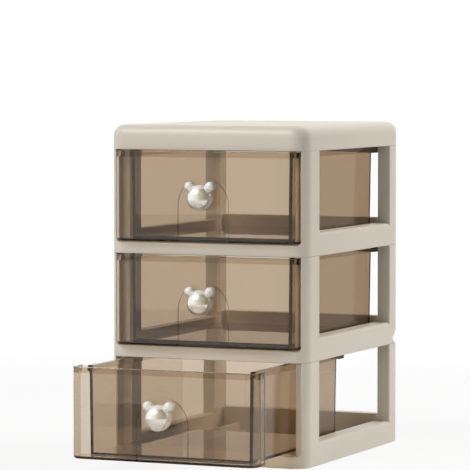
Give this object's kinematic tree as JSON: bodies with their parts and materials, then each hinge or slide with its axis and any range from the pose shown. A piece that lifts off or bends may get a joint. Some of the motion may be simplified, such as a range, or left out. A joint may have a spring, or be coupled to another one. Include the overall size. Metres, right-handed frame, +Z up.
{
  "type": "stackable drawer box",
  "caption": "Free-standing desk organiser: stacked moulded tiers with posts and rails under a rounded cover, each carrying a sliding see-through drawer with a small domed knob.",
  "frame": {"origin": "middle of the case's footprint, on the underside of the lower tier's floor", "axes": "+Z up, -Y towards the front where the drawers come out, +X to the right seen from the front"},
  "size_m": [0.16, 0.2933, 0.2526],
  "materials": {
    "case": "satin cream moulding",
    "drawer": "clear smoky brown",
    "knob": "high gloss cream",
    "screw": "zinc plated"
  },
  "bodies": {
    "case": {"top_cover": "case", "tier_frame_lower": "case", "tier_frame_middle": "case", "tier_frame_upper": "case"},
    "drawer_lower": {"drawer_lower": "drawer", "knob_lower": "knob", "knob_screw_lower": "screw"},
    "drawer_middle": {"drawer_middle": "drawer", "knob_middle": "knob", "knob_screw_middle": "screw"},
    "drawer_upper": {"drawer_upper": "drawer", "knob_upper": "knob", "knob_screw_upper": "screw"}
  },
  "joints": [
    {"name": "drawer_lower_slide", "type": "slide", "parent": "case", "child": "drawer_lower", "axis": [0, -1, 0], "range_m": [-0.073, 0.057]},
    {"name": "drawer_middle_slide", "type": "slide", "parent": "case", "child": "drawer_middle", "axis": [0, -1, 0], "range_m": [0, 0.13]},
    {"name": "drawer_upper_slide", "type": "slide", "parent": "case", "child": "drawer_upper", "axis": [0, -1, 0], "range_m": [0, 0.13]}
  ]
}
